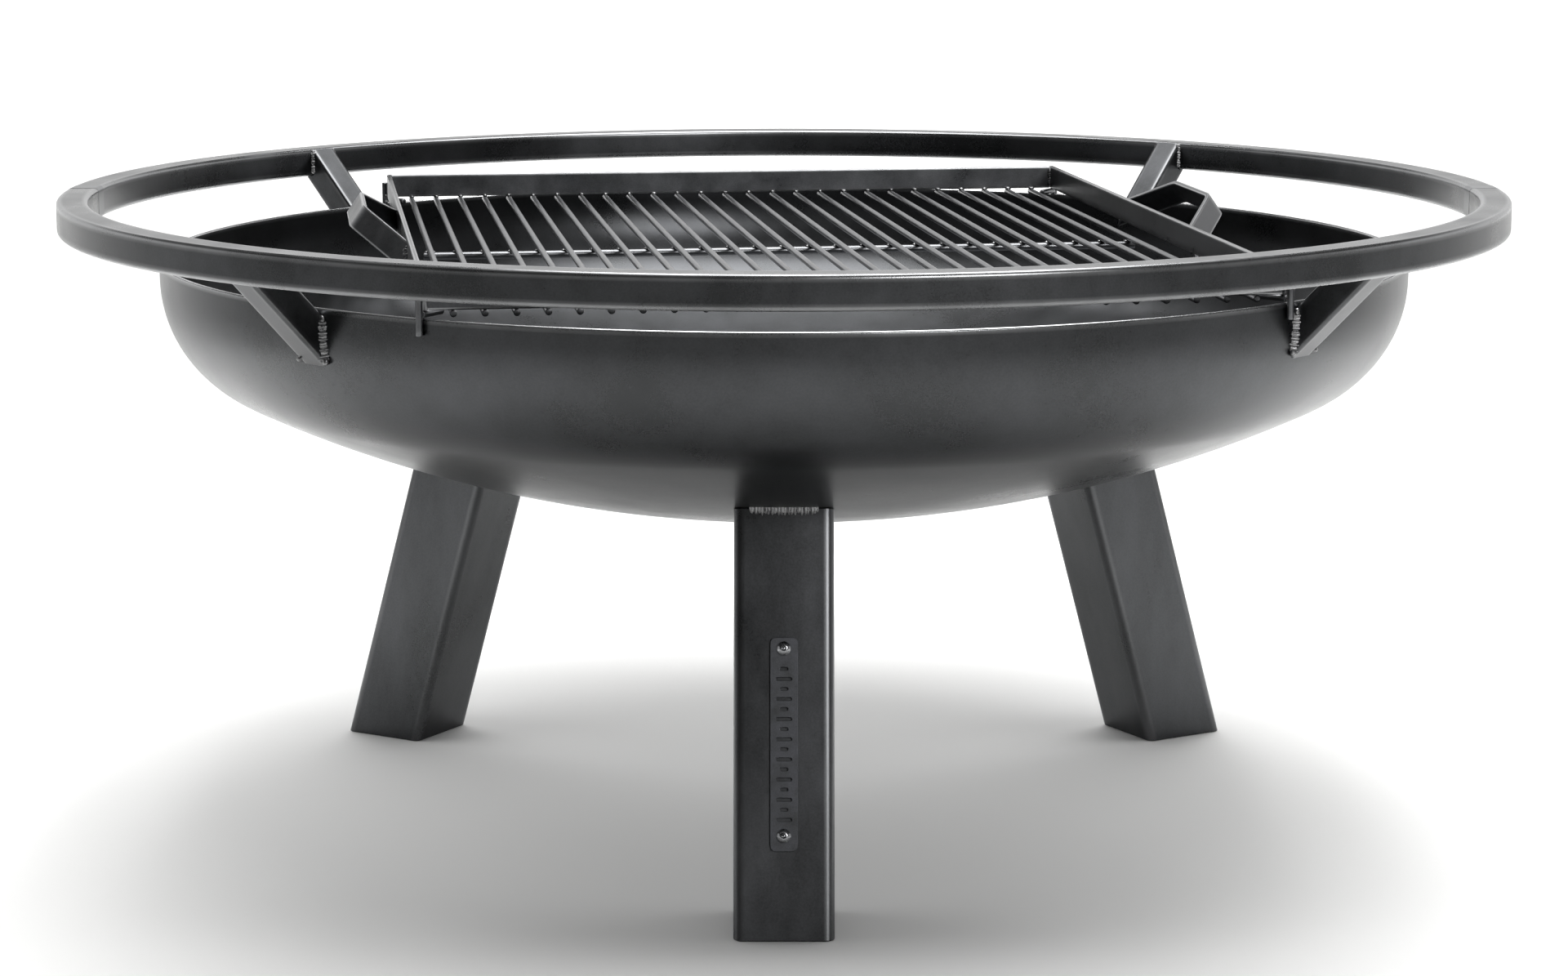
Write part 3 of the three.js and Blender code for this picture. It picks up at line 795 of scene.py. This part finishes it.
class FIREPIT_OT_ring(bpy.types.Operator):
    """Make the carrying ring's two halves and the ground bands at its butt welds"""
    bl_idname = "firepit.ring"
    bl_label = "Carrying ring"

    def execute(self, context):
        """A rounded square carried round half a circle, twice, and a thin band of the same section
        round each joint."""
        t, w = settings().tube, settings().weld
        centre = np.array([RING_HIGH[0] - t.ring / 2, RING_HIGH[2] - t.ring / 2])
        tube = t.ring - 2 * BAND_PROUD
        loop, worn = rounded_loop(tube, tube, t.ring_corner)
        for place, sign, steps in (("front", -1, 180), ("rear", 1, 180)):
            gap = CLEARANCE / 2 / centre[0]
            swing = sign * np.linspace(gap, math.pi - gap, steps)
            made = self.run(loop, worn, swing, centre)
            piece(f"carrying_ring_{place}", [made], ring_tube(), "fire_pit",
                  [f"ring_half_{place}"])
        band, worn = rounded_loop(t.ring, t.ring, t.ring_corner + BAND_PROUD)
        spread = w.ground_band / 2 / centre[0]
        for place, middle in (("right", 0), ("left", math.pi)):
            swing = middle + np.linspace(-spread, spread, 13)
            made = self.run(band, worn, swing, centre)
            piece(f"ring_butt_weld_{place}", [made], ground_weld(), "fire_pit")
        return {"FINISHED"}

    @staticmethod
    def run(loop, worn, swing, centre):
        """The loop carried round the Z axis through some angles."""
        radial = np.stack([np.cos(swing), np.sin(swing), 0 * swing], axis=1)
        path = centre[0] * radial + [0, 0, centre[1]]
        return shell(carried(loop, path, radial, UP), edge=worn)


class FIREPIT_OT_legs(bpy.types.Operator):
    """Make the three legs"""
    bl_idname = "firepit.legs"
    bl_label = "Legs"

    def execute(self, context):
        """A hollow square tube slid from the floor to the bowl's underside along its own lean."""
        t = settings().tube
        for place, azimuth in LEG_AZIMUTHS.items():
            foot, outwards, across, upwards = leg_frame(azimuth)
            made = cut_tube(
                foot - t.leg / 2 * outwards, across, outwards, upwards, t.leg, t.leg_wall,
                t.leg_corner, lambda p, d: -p[:, 2] / d[2],
                lambda p, d: meet_bowl(p, d, LEG_SEARCH, BOWL_HIGH[2]), rows=24,
            )
            heat = np.concatenate([leg_bead_path(azimuth, f)[0][::3] for f in (0, -1)])
            piece(f"splayed_leg_{place}", [made], leg_tube(), "fire_pit",
                  [f"leg_{place}"], bevel=0.5 * MM, heat=heat)
        return {"FINISHED"}


class FIREPIT_OT_brackets(bpy.types.Operator):
    """Make the four brackets between the bowl and the ring"""
    bl_idname = "firepit.brackets"
    bl_label = "Brackets"

    def execute(self, context):
        """A hollow square tube slid from the ring's inner wall or underside down to the bowl."""
        t = settings().tube
        for place in PLACES:
            base, inwards, across, upwards = bracket_frame(place)
            made = cut_tube(base, across, upwards, inwards, t.bracket, t.bracket_wall,
                            t.bracket_corner, self.meet_ring,
                            lambda p, d: meet_bowl(p, d, 0, BRACKET_SEARCH), rows=16)
            heat = np.concatenate([bracket_bead_path(place, s)[0][::4] for s in (-1, 1)])
            piece(f"bracket_{place}", [made], bracket_tube(), "fire_pit",
                  [f"ring_bracket_{place}"], bevel=0.3 * MM, heat=heat)
        return {"FINISHED"}

    @staticmethod
    def meet_ring(points, along):
        """How far along the line each point leaves the ring: where it passes below the ring's
        underside, or inside its inner wall, whichever comes first."""
        low = RING_LOW[2] - CLEARANCE
        wall = RING_HIGH[0] - settings().tube.ring - CLEARANCE
        down = (low - points[:, 2]) / along[2]
        flat, heading = points[:, :2], along[:2]
        b, c = flat @ heading, (flat ** 2).sum(1) - wall ** 2
        a = heading @ heading
        inside = (-b - np.sqrt(np.maximum(b * b - a * c, 0))) / a
        return np.minimum(down, inside)


class FIREPIT_OT_badge(bpy.types.Operator):
    """Make the badge plate and its two rivets"""
    bl_idname = "firepit.badge"
    bl_label = "Badge plate"

    def execute(self, context):
        """The plate is a column of tiles. Each tile is a few rings of points between a cut-out's
        outline and the tile's own square outline. The rivets are a dome turned about its axis."""
        b = settings().badge
        low, high = corners_of("badge_plate")
        _, outwards, across, upwards = leg_frame(LEG_AZIMUTHS["front"])
        centre = (low + high) / 2 + outwards * b.thickness / 2
        inner = b.length - 2 * b.end_zone
        pitch = inner / b.cut_outs
        heights = -inner / 2 + pitch * (np.arange(b.cut_outs) + 0.5)
        runs = (b.long_slot - b.slot_width, b.short_slot - b.slot_width)
        tiles = [self.tile(h, pitch, b.slot_width / 2, runs[k % 2] / 2) for k, h in enumerate(heights)]
        end = b.length / 2 - b.end_zone / 2
        tiles += [self.tile(sign * end, b.end_zone, RIVET_HOLE, 0) for sign in (-1, 1)]
        flat = self.rounded(np.stack(tiles))
        plate = self.sheet(flat, lambda uv: centre + uv[:, :1] * across + uv[:, 1:] * upwards)
        plate.data.materials.append(cut_plate())
        solid = plate.modifiers.new("thickness", "SOLIDIFY")
        solid.thickness = b.thickness
        solid.offset = -1
        edge = plate.modifiers.new("soft edges", "BEVEL")
        edge.width, edge.segments, edge.limit_method = 0.25 * MM, 2, "ANGLE"
        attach(plate, "fire_pit")
        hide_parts("badge_plate")
        rivets = []
        for place in ("lower", "upper"):
            a, z = rod_ends(f"badge_rivet_{place}")
            rivets.append(self.rivet(a, z, outwards))
        piece("badge_rivets", rivets, rivet_steel(), "fire_pit",
              ["badge_rivet_lower", "badge_rivet_upper"], sharp=50)
        return {"FINISHED"}

    @staticmethod
    def tile(height, pitch, radius, half_run):
        """Rings of points from a cut-out with round ends to a rectangle, eight to a side."""
        b = settings().badge
        side = np.linspace(-1, 1, 9)[:-1]
        one = np.ones(8)
        square = np.concatenate([np.stack(pair, 1) for pair in
                                 ((side, -one), (one, side), (-side, one), (-one, -side))])
        swing = np.arctan2(square[:, 1], square[:, 0])
        hole = np.stack([radius * np.cos(swing) + half_run * np.clip(3 * np.cos(swing), -1, 1),
                         radius * np.sin(swing)], axis=1)
        outline = square * [b.width / 2, pitch / 2]
        rings = np.array([0, 0.35, 1])[:, None, None]
        return hole + rings * (outline - hole) + [0, height]

    @staticmethod
    def rounded(tiles):
        """Pulls the plate's four corners in to their radius: each square round the corner's centre
        becomes a circle of the same reach."""
        b = settings().badge
        middle = np.array([b.width / 2 - b.corner, b.length / 2 - b.corner])
        beyond = np.abs(tiles) - middle
        corner = (beyond > 100 * TINY).all(-1, keepdims=True)
        reach = np.maximum(np.linalg.norm(beyond, axis=-1, keepdims=True), TINY)
        pulled = np.sign(tiles) * (middle + beyond * beyond.max(-1, keepdims=True) / reach)
        return np.where(corner, pulled, tiles)

    @staticmethod
    def sheet(tiles, place):
        """One sheet from the tiles: equal points are merged, and each ring is joined to the
        next by four-sided faces."""
        count, rings, around, _ = tiles.shape
        index = np.arange(count * rings * around).reshape(count, rings, around)
        ahead = np.roll(index, -1, axis=2)
        quads = np.stack([index[:, :-1], index[:, 1:], ahead[:, 1:], ahead[:, :-1]], -1).reshape(-1, 4)
        unique, inverse = np.unique(tiles.reshape(-1, 2).round(7), axis=0, return_inverse=True)
        mesh = bpy.data.meshes.new("badge_sheet")
        mesh.from_pydata(place(unique).tolist(), [], inverse.ravel()[quads].tolist())
        return placed("badge_sheet", mesh)

    @staticmethod
    def rivet(tail, head, outwards):
        """A low dome with a dimple, in which the broken end of the pin stands, on its shank."""
        b = settings().badge
        if (head - tail) @ outwards < 0:
            tail, head = head, tail
        crest, radius = np.linalg.norm(head - tail), b.rivet_head / 2
        base = crest - b.rivet_height
        swing = np.linspace(0, 1, 9)
        dome = np.stack([radius * (1 - 0.62 * swing), base + RIVET_RIM
                         + (b.rivet_height - RIVET_RIM) * np.sin(swing * math.pi / 2)], 1)
        profile = np.array([[0.2 * RIVET_SHANK, 0], [RIVET_SHANK, 0], [RIVET_SHANK, base],
                            [radius * 0.97, base]])
        dimple = np.array([[1.7, -0.25], [1.5, -1.1], [1.15, -1.2], [1.05, -0.5], [0.75, -0.25],
                           [0.3, -0.2]]) * MM + [0, crest]
        return revolved(np.concatenate([profile, dome, dimple]), tail, outwards, 40,
                        edge=np.zeros(len(profile) + len(dome) + len(dimple)))


def flat_section():
    """The flat bar's height and its outline on edge, with how worn each point is."""
    g = settings().grate
    height = STRIP_HIGH[2] - STRIP_LOW[2]
    return height, *rounded_loop(g.strip, height, g.edge, 3, 6, STRIP_WEAR)


def flat_bar_pair(grid, worn, name, node, places):
    """Two pieces of flat bar from one grid, the second turned half round."""
    for place, turn in zip(places, (0, math.pi)):
        made = shell(turned(grid, GRATE_TURN + turn), edge=worn)
        piece(f"{name}_{place}", [made], flat_bar(), "grate",
              [f"{node}_{place}"])


def handle_centre():
    """The height of a handle's centre line where it meets the frame."""
    g = settings().grate
    height = STRIP_HIGH[2] - STRIP_LOW[2]
    return STRIP_HIGH[2] - (g.handle_drop + height / 2 / math.cos(g.rise))


class FIREPIT_OT_grate_frame(bpy.types.Operator):
    """Make the grate's frame of two bent strips"""
    bl_idname = "firepit.grate_frame"
    bl_label = "Grate frame"

    def execute(self, context):
        """A flat strip on edge carried along a long side, round a bend and along an end, and the
        same again, turned half round."""
        g = settings().grate
        half, length = GRATE_HALF[0], GRATE_HALF[1]
        x, y = half - g.strip / 2, length - g.strip / 2
        corners = [(-x, -length), (-x, y), (half - g.strip - CLEARANCE, y)]
        places, headings = bent_path(corners, g.bend, straight=24)
        height, loop, worn = flat_section()
        path = np.column_stack([places, np.full(len(places), STRIP_LOW[2] + height / 2)])
        side = np.column_stack([headings[:, 1], -headings[:, 0], np.zeros(len(places))])
        grid = carried(loop, path, side, UP)
        flat_bar_pair(grid, worn, "grate_strip", "grate_frame", ("left_rear", "right_front"))
        return {"FINISHED"}


class FIREPIT_OT_grate_bars(bpy.types.Operator):
    """Make the grate's bars, cross rod, corner rests and corner pins"""
    bl_idname = "firepit.grate_bars"
    bl_label = "Grate bars and pins"

    def execute(self, context):
        """Round rods with softened ends between the ends that the frame gives."""
        g = settings().grate
        groups = {"grate_bars": (BARS, g.bar), "grate_rod_under_bars": (["grate_cross_rod"], g.cross)}
        for place in PLACES:
            groups[f"grate_corner_{place}"] = ([f"grate_rest_{place}", f"grate_pin_{place}"], g.bar)
        for name, (nodes, diameter) in groups.items():
            made = [rod(*rod_ends(n), diameter) for n in nodes]
            piece(name, made, drawn_rod(), "grate", nodes)
        return {"FINISHED"}


class FIREPIT_OT_handles(bpy.types.Operator):
    """Make the grate's two handles"""
    bl_idname = "firepit.handles"
    bl_label = "Handles"

    def execute(self, context):
        """A flat strip carried along a trapezoid with round bends, in a plane that rises outwards,
        with its ends slid along the arms to the frame's side."""
        g = settings().grate
        height, loop, worn = flat_section()
        lean = (g.base - g.grip) / 2 / g.reach
        foot = g.base / 2 + height * lean
        corners = [(-foot, -height), (-g.grip / 2, g.reach), (g.grip / 2, g.reach), (foot, -height)]
        places, headings = bent_path(corners, g.handle_bend, steps=10, straight=1)
        out = np.array([math.cos(g.rise), 0, math.sin(g.rise)])
        along = np.array([0, 1, 0])
        flat = np.cross(along, out)
        base = np.array([GRATE_HALF[0], 0, handle_centre()])
        path = base + places[:, :1] * along + places[:, 1:] * out
        heading = headings[:, :1] * along + headings[:, 1:] * out
        side = headings[:, 1:] * along - headings[:, :1] * out
        grid = carried(loop, path, side, flat)
        for row in (0, -1):
            slide = (GRATE_HALF[0] + CLEARANCE - grid[row, :, :1]) / heading[row, 0]
            grid[row] = grid[row] + slide * heading[row]
        flat_bar_pair(grid, worn, "handle", "grate_handle", ("right", "left"))
        return {"FINISHED"}


class FIREPIT_OT_welds(bpy.types.Operator):
    """Lay the weld beads, tacks and spatter"""
    bl_idname = "firepit.welds"
    bl_label = "Welds"

    def execute(self, context):
        """Beads along the lines where tube meets bowl and ring, and small drops where the bars,
        handles and pins are tacked to the frame."""
        w = settings().weld
        legs = [leg_bead_path(a, f) for a in LEG_AZIMUTHS.values() for f in (0, -1)]
        low = [bracket_bead_path(p, s) for p in PLACES for s in (-1, 1)]
        high = [ring_bead_path(p, s) for p in PLACES for s in (-1, 1)]
        beads = [bead(path, n, w.bead, w.height, w.ripple, 10 + k)
                 for k, (path, n) in enumerate(legs + low)]
        beads += [bead(path, n, 0.55 * w.bead, 0.6 * w.height, w.ripple, 60 + k)
                  for k, (path, n) in enumerate(high)]
        beads += [bead(*ring_top_bead_path(p), 0.7 * w.bead, 0.6 * w.height, w.ripple, 80 + k)
                  for k, p in enumerate(PLACES)]
        for end, radius, seed in ((0, 2.6 * MM, 5), (-1, 3.0 * MM, 6)):
            knobs = np.array([path[end] + 0.5 * w.height * n for path, n in low])
            beads += drops(knobs, [radius] * 3, seed)
        beads = [kept_in_sheet(made) for made in beads]
        piece("body_welds", beads, weld_metal(), "fire_pit", sharp=80)
        piece("grate_tacks", self.tacks(), weld_metal(), "grate", sharp=80)
        return {"FINISHED"}

    def tacks(self):
        """Drops at both ends of every bar, where the bars cross the rod, at the pins and in the
        corners of the frame, and beads down the handles' arms."""
        g = settings().grate
        ends = np.array([rod_ends(n) for n in BARS])
        along = unit(ends[0, 1] - ends[0, 0])
        edge = g.strip + 1.2 * MM
        tips = np.concatenate([ends[:, 0] + along * edge, ends[:, 1] - along * edge])
        tips[:, 2] = STRIP_LOW[2] + 0.2 * MM
        made = drops(tips, np.array([2.3, 1.9, 1.5]) * MM, 21)
        cross = rod_ends("grate_cross_rod")
        span = unit(cross[1] - cross[0])
        middle = (ends[:, 0] + ends[:, 1]) / 2
        for shift in (-1, 1):
            spots = middle + shift * 2.4 * MM * span
            spots[:, 2] = (middle[:, 2] + cross[0][2]) / 2
            made += drops(spots, np.array([1.9, 1.6, 1.5]) * MM, 31 + shift)
        half, length = GRATE_HALF[0] - g.strip, GRATE_HALF[1] - g.strip
        top, low = STRIP_HIGH[2] - 2 * MM, STRIP_LOW[2] + 2 * MM
        inside = [(half, length), (-half, -length)]
        for k, (x, y) in enumerate(inside):
            seam = np.stack([np.full(9, x), np.full(9, y), np.linspace(top, low, 9)], 1)
            made.append(bead(turned(seam, GRATE_TURN), turned(unit([[-x, -y * 0.7, 0]]), GRATE_TURN)[0],
                             5 * MM, 1.6 * MM, 2.2 * MM, 40 + k))
        for k, (sign, turn) in enumerate(((-1, 0), (1, 0), (-1, math.pi), (1, math.pi))):
            made += self.arm_weld(sign, turn, 70 + 10 * k)
        for place in PLACES:
            pin = rod_ends(f"grate_pin_{place}")
            rest = rod_ends(f"grate_rest_{place}")
            tip = min(rest, key=lambda p: np.linalg.norm(p[:2] - pin[0][:2]))
            made += drops([tip, np.array([*(0.5 * (tip + pin[0]))[:2], STRIP_LOW[2]])],
                          np.array([2, 2, 2.2]) * MM, 51)
        return made

    @staticmethod
    def arm_weld(sign, turn, seed):
        """A short lumpy bead down the outside of a handle's arm where it meets the frame."""
        g = settings().grate
        random = np.random.default_rng(seed)
        height = STRIP_HIGH[2] - STRIP_LOW[2]
        lower = np.array([math.sin(g.rise), 0, -math.cos(g.rise)])
        steps = np.linspace(-0.45, 0.45, 9)[:, None] * height
        centre = np.array([GRATE_HALF[0], sign * (g.base / 2 + 1 * MM), handle_centre()])
        seam = centre + steps * lower
        seam[:, 0] = GRATE_HALF[0] + 0.8 * MM
        normal = turned(unit([[1, sign * 1.0, 0.3]]), GRATE_TURN + turn)[0]
        made = [bead(turned(seam, GRATE_TURN + turn), normal, 5 * MM, 1.8 * MM, 2.2 * MM, seed)]
        spots = seam[random.integers(0, 9, 7)] + random.normal(0, 2.2 * MM, (7, 3))
        spots[:, 0] = GRATE_HALF[0] + 0.4 * MM
        made += drops(turned(spots, GRATE_TURN + turn), [0.9 * MM] * 3, seed, 5, 7)
        return made


class FIREPIT_OT_stage(bpy.types.Operator):
    """Make the floor, the lights, the world and the camera"""
    bl_idname = "firepit.stage"
    bl_label = "Stage"

    def execute(self, context):
        """Sizes and places are in metres, X to the right, Y away from the camera and Z up."""
        scene, s = context.scene, settings().stage
        scene.view_settings.view_transform = "Standard"
        self.floor()
        self.world(scene)
        self.softbox("overhead_softbox", (0.2, 0.3, 2.2), (0.2, 0.3, 0), 2.0, 1.6, s.overhead)
        front = self.softbox("front_softbox", (1.35, -2.95, 1.5), (-0.1, 0.45, 0.42), 1.2, 0.9, s.front)
        front.visible_diffuse = False  # the steel mirrors it, and the paper isn't lit by it
        for name, place, target, width, height, power in (
                ("right_softbox", (1.3, 0, 0.5), (0, 0, 0), 1.0, 0.5, s.side),
                ("left_softbox", (-1.3, 0, 0.5), (0, 0, 0), 1.0, 0.5, s.side),
                ("back_softbox", (0, 14, 6), (0, 14, 0), 18, 20, s.back)):
            made = self.softbox(name, place, target, width, height, power)
            made.visible_glossy = False  # these light the paper only, and no steel mirrors them
            made.visible_camera = False
        camera = placed("camera", bpy.data.cameras.new("camera"))
        camera.data.lens = s.lens
        camera.data.sensor_width = 36
        camera.location = (0, -s.distance, s.eye)
        camera.rotation_euler = (math.pi / 2 - s.pitch, 0, 0)
        scene.camera = camera
        return {"FINISHED"}

    @staticmethod
    def floor():
        """A flat square grid just under the feet."""
        steps = np.linspace(-30, 30, 13)
        x, y = np.meshgrid(steps, steps)
        points = np.stack([x, y, np.full(x.shape, -0.4 * MM)], axis=-1).reshape(-1, 3)
        index = np.arange(13 * 13).reshape(13, 13)
        quads = np.stack([index[:-1, :-1], index[:-1, 1:], index[1:, 1:], index[1:, :-1]], -1)
        mesh = bpy.data.meshes.new("studio_floor")
        mesh.from_pydata(points.tolist(), [], quads.reshape(-1, 4).tolist())
        mesh.materials.append(studio_paper())
        made = placed("studio_floor", mesh)

    @staticmethod
    def world(scene):
        """A pale band low behind the object that falls off towards the front, a dark wall above
        it, and a dim ceiling."""
        scene.world = bpy.data.worlds.new("studio")
        scene.world.use_nodes = True
        tree = scene.world.node_tree
        direction = add_node(tree, "ShaderNodeTexCoord").outputs["Generated"]
        parts = add_node(tree, "ShaderNodeSeparateXYZ", {}, {0: direction})
        depth = add_node(tree, "ShaderNodeMapRange", {"From Min": -0.5, "From Max": 0.5,
                                                      "To Min": 0.1, "To Max": 1.0},
                         {"Value": parts.outputs[1]})
        band = add_node(tree, "ShaderNodeMapRange", {"From Min": 0.3, "From Max": 0.44,
                                                     "To Min": 1.2, "To Max": 0.12},
                        {"Value": parts.outputs[2]})
        ceiling = add_node(tree, "ShaderNodeMapRange", {"From Min": 0.6, "From Max": 0.95,
                                                        "To Min": 0, "To Max": 0.4},
                           {"Value": parts.outputs[2]})
        both = add_node(tree, "ShaderNodeMath", {}, {0: depth.outputs[0], 1: band.outputs[0],
                                                     2: ceiling.outputs[0]},
                        operation="MULTIPLY_ADD")
        shader = tree.nodes["Background"]
        shader.inputs["Color"].default_value = (1, 1, 1, 1)
        tree.links.new(both.outputs[0], shader.inputs["Strength"])

    @staticmethod
    def softbox(name, place, target, width, height, power):
        """A rectangular area light at a place, turned to face a target."""
        light = bpy.data.lights.new(name, "AREA")
        light.shape, light.size, light.size_y, light.energy = "RECTANGLE", width, height, power
        made = placed(name, light)
        made.location = place
        made.rotation_euler = turn_towards(np.array(target) - np.array(place))
        return made


def turn_towards(vector):
    """The turn, as X, Y and Z angles, that points a light's -Z axis along a vector."""
    flat = math.hypot(vector[0], vector[1])
    return (math.atan2(flat, -vector[2]), 0, math.atan2(vector[1], vector[0]) - math.pi / 2)


class FIREPIT_PT_panel(bpy.types.Panel):
    bl_label = "Fire pit"
    bl_space_type = "VIEW_3D"
    bl_region_type = "UI"
    bl_category = "Fire pit"

    def draw(self, context):
        for operator in OPERATORS:
            self.layout.operator(operator.bl_idname)


GROUPS = (BowlSizes, TubeSizes, BadgeSizes, GrateSizes, WeldSizes, Finishes, StageSettings,
          FirePitSettings)
OPERATORS = (FIREPIT_OT_bowl, FIREPIT_OT_ring, FIREPIT_OT_legs, FIREPIT_OT_brackets,
             FIREPIT_OT_badge, FIREPIT_OT_grate_frame, FIREPIT_OT_grate_bars, FIREPIT_OT_handles,
             FIREPIT_OT_welds, FIREPIT_OT_stage)


def register():
    for made in (*GROUPS, *OPERATORS, FIREPIT_PT_panel):
        bpy.utils.register_class(made)
    bpy.types.Scene.fire_pit = PointerProperty(type=FirePitSettings)


def unregister():
    del bpy.types.Scene.fire_pit
    for made in (FIREPIT_PT_panel, *reversed(OPERATORS), *reversed(GROUPS)):
        bpy.utils.unregister_class(made)


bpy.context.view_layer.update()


def main():
    register()
    for operator in OPERATORS:
        group, name = operator.bl_idname.split(".")
        getattr(getattr(bpy.ops, group), name)()


if __name__ == "__main__":
    main()
